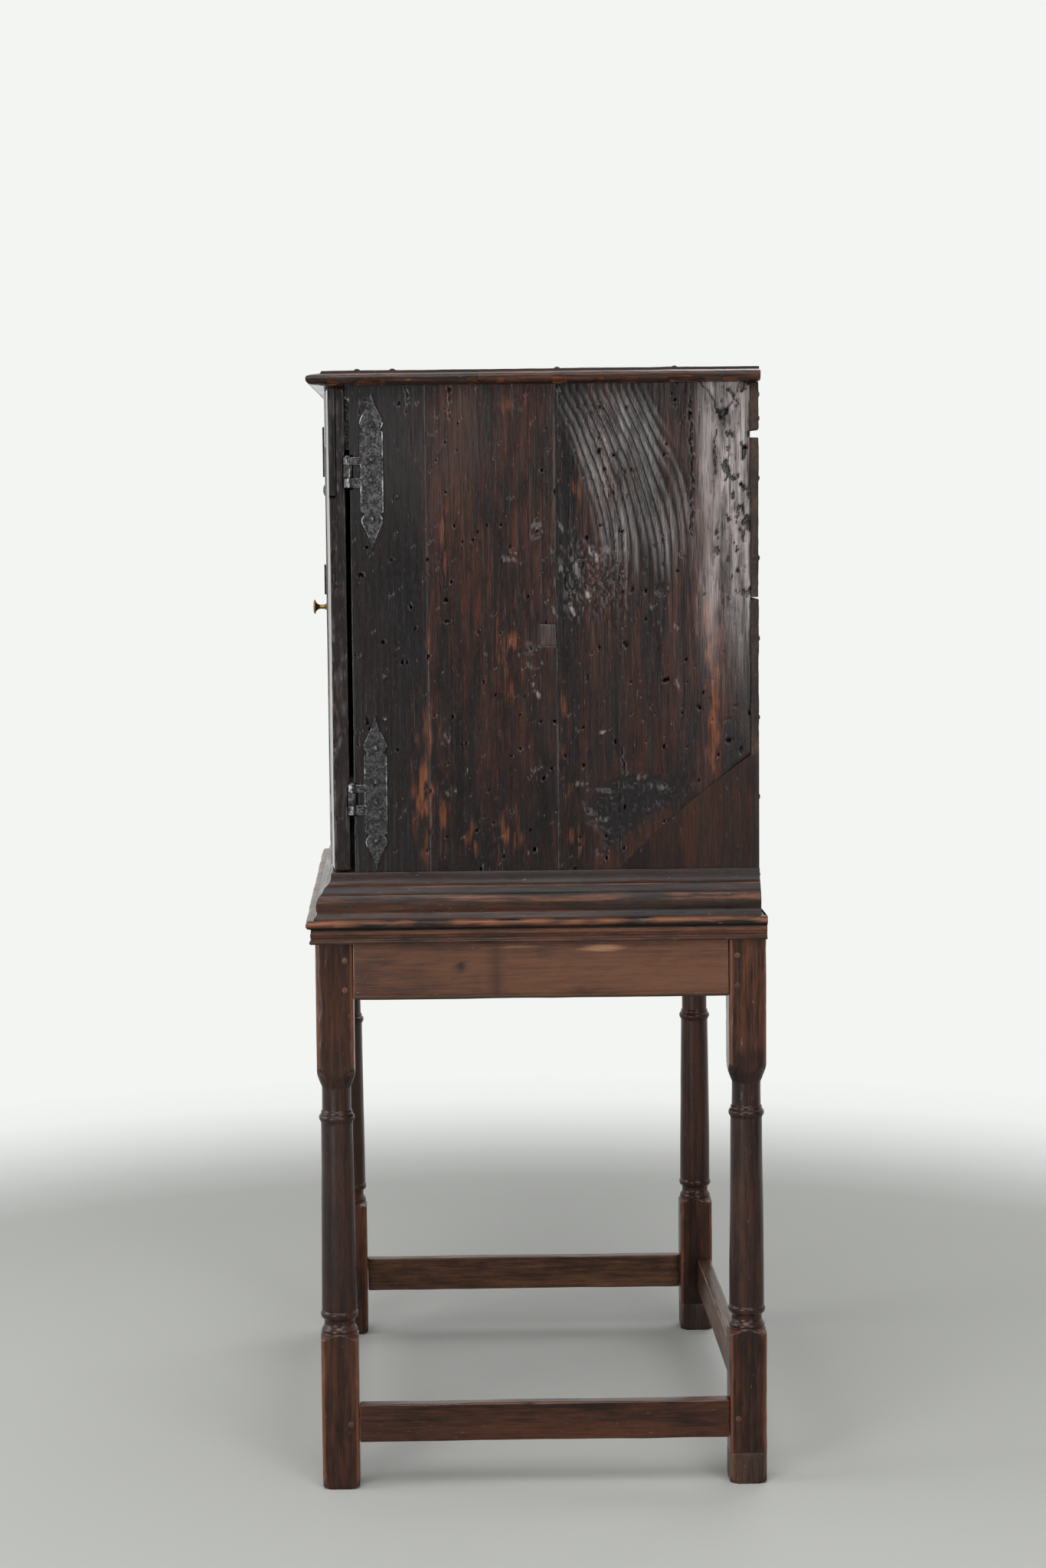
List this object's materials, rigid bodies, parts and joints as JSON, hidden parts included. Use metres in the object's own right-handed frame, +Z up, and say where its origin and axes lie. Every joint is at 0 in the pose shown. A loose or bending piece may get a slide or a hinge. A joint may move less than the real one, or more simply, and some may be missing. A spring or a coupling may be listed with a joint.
{
  "type": "cabinet on stand",
  "caption": "Dark oak cupboard with paired hinged doors and interior shelves, on a turned, pegged and stretchered stand.",
  "frame": {"origin": "on the floor, below the middle of the bounding box, which is the middle of the stand's top", "axes": "+Z up; +X to the cabinet's right-hand side, the side with the corner repair, as it is seen from behind; the doors face -Y and the back boards face +Y"},
  "size_m": [0.858, 0.6153, 1.5026],
  "materials": {
    "case_oak": "dark waxed oak, worn",
    "stand_oak": "dark waxed oak, turned",
    "rail_oak": "mid-brown waxed oak",
    "moulding_oak": "reddish-brown waxed oak",
    "wrought_iron": "hand-forged iron, blackened and pitted",
    "aged_brass": "aged, handled brass"
  },
  "bodies": {
    "cabinet": {"leg_front_right": "stand_oak", "leg_front_left": "stand_oak", "leg_back_right": "stand_oak", "leg_back_left": "stand_oak", "foot_tips": "moulding_oak", "rail_front": "rail_oak", "rail_back": "rail_oak", "rail_right": "rail_oak", "rail_left": "rail_oak", "stretcher_front": "stand_oak", "stretcher_back": "stand_oak", "stretcher_right": "stand_oak", "stretcher_left": "stand_oak", "stand_pegs": "moulding_oak", "stand_top": "moulding_oak", "stand_moulding_front": "moulding_oak", "stand_moulding_right": "moulding_oak", "stand_moulding_left": "moulding_oak", "base_rail": "case_oak", "base_moulding_front": "moulding_oak", "base_moulding_right": "moulding_oak", "base_moulding_left": "moulding_oak", "bottom_board": "case_oak", "side_right_front_board": "case_oak", "side_right_middle_board": "case_oak", "side_right_back_board": "case_oak", "side_right_repairs": "moulding_oak", "side_left_front_board": "case_oak", "side_left_middle_board": "case_oak", "side_left_back_board": "case_oak", "top_front_board": "case_oak", "top_back_board": "case_oak", "back_boards": "case_oak", "shelf_lower": "case_oak", "shelf_upper": "case_oak", "shelf_bearers": "case_oak", "iron_nails": "wrought_iron", "hinge_case_leaves": "wrought_iron", "hinge_pins": "wrought_iron", "hook_loop": "wrought_iron"},
    "right_door": {"right_door_hinge_leaves": "wrought_iron", "right_door_outer_stile": "case_oak", "right_door_meeting_stile": "case_oak", "right_door_top_rail": "case_oak", "right_door_bottom_rail": "case_oak", "right_door_panel": "case_oak", "right_door_edge_patch": "case_oak", "door_knob": "aged_brass", "lock_escutcheon": "wrought_iron", "upper_plate": "wrought_iron", "lock_case": "wrought_iron"},
    "left_door": {"left_door_hinge_leaves": "wrought_iron", "left_door_outer_stile": "case_oak", "left_door_meeting_stile": "case_oak", "left_door_top_rail": "case_oak", "left_door_bottom_rail": "case_oak", "left_door_panel": "case_oak", "left_door_staples": "wrought_iron"},
    "lock_bolt": {"lock_bolt": "wrought_iron"},
    "door_hook": {"door_hook": "wrought_iron"}
  },
  "joints": [
    {"name": "right_door_hinge", "type": "hinge", "parent": "cabinet", "child": "right_door", "pos_m": [0.3915, -0.24275, 0.9], "axis": [0, 0, 1], "range_deg": [-1.8, 170]},
    {"name": "left_door_hinge", "type": "hinge", "parent": "cabinet", "child": "left_door", "pos_m": [-0.3915, -0.24275, 0.9], "axis": [0, 0, -1], "range_deg": [-1.8, 170]},
    {"name": "lock_bolt_slide", "type": "slide", "parent": "right_door", "child": "lock_bolt", "axis": [-0.9995, -0.0314, 0], "range_m": [0, 0.016]},
    {"name": "door_hook_swing", "type": "hinge", "parent": "left_door", "child": "door_hook", "pos_m": [-0.04798, -0.24754, 1.0515], "axis": [0.9995, -0.0314, 0], "range_deg": [0, 80]}
  ]
}
